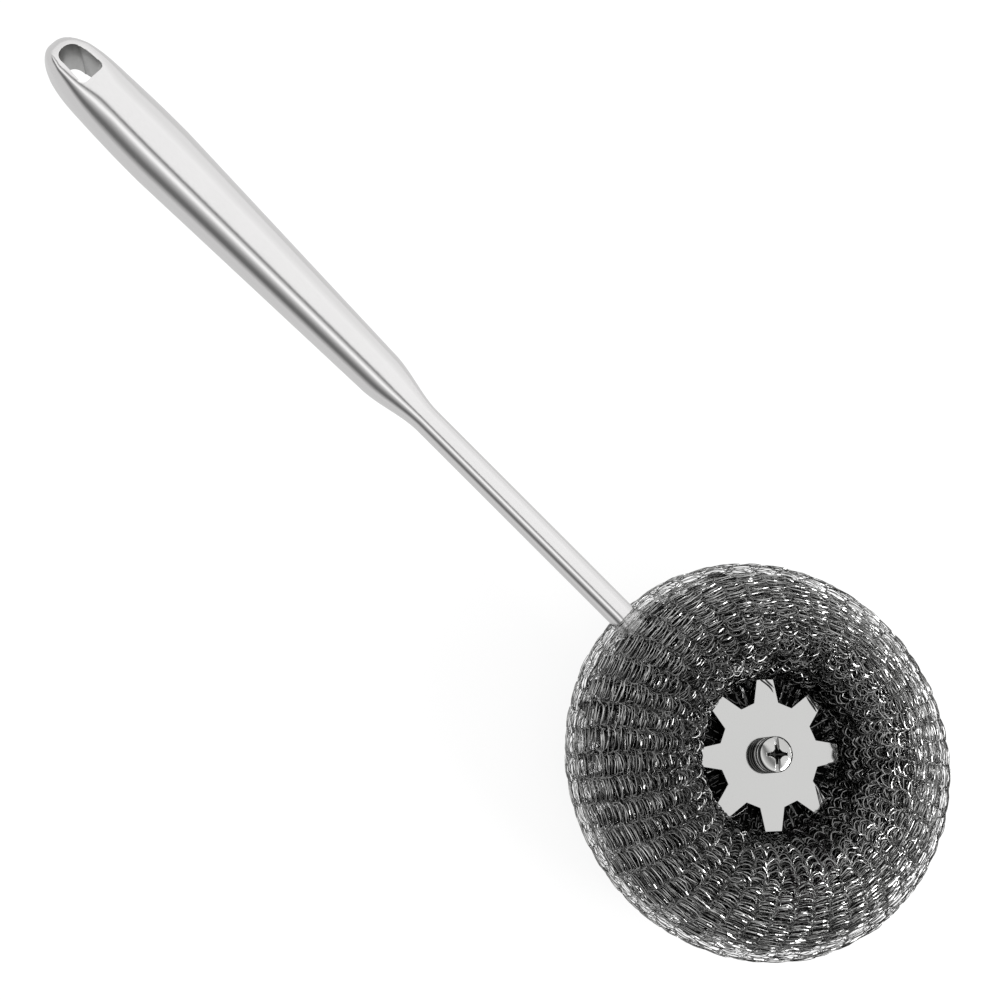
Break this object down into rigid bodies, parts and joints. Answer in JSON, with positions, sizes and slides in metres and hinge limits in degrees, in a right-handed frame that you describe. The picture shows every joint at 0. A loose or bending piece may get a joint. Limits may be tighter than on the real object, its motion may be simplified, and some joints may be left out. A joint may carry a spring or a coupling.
{
  "type": "dish brush",
  "caption": "Knitted stainless wire scourer ring clamped between toothed plates on a slender hollow stainless handle with a hanging slot.",
  "frame": {"origin": "below the middle of the object's length, on the plane that the scourer ring rests on", "axes": "+X along the handle from its tip to the scourer, +Z along the clamp screw towards its head, +Y across the handle"},
  "size_m": [0.3032, 0.099, 0.048],
  "materials": {
    "satin_steel": "satin, fine grain along the handle",
    "polished_steel": "flat polished stamping",
    "wire_knit": "bright stainless wire, knitted and gathered",
    "fastener_steel": "bright"
  },
  "bodies": {
    "brush": {"handle_shell": "satin_steel", "hang_slot_liner": "satin_steel", "scourer": "wire_knit", "front_claw_plate": "polished_steel", "rear_claw_plate": "polished_steel", "clamp_nut": "fastener_steel"},
    "captive_washers": {"plain_washer": "fastener_steel", "spring_washer": "fastener_steel"},
    "clamp_screw": {"clamp_screw": "fastener_steel"}
  },
  "joints": [
    {"name": "screw_lift", "type": "slide", "parent": "brush", "child": "captive_washers", "axis": [0, 0, 1], "range_m": [0, 0.004]},
    {"name": "screw_turn", "type": "hinge", "parent": "captive_washers", "child": "clamp_screw", "pos_m": [0.0996, 0, 0.03], "axis": [0, 0, 1], "range_deg": [0, 1800]}
  ],
  "couplings": [
    {"joint": "screw_turn", "follows": "screw_lift", "rad_per_m": 7854}
  ]
}
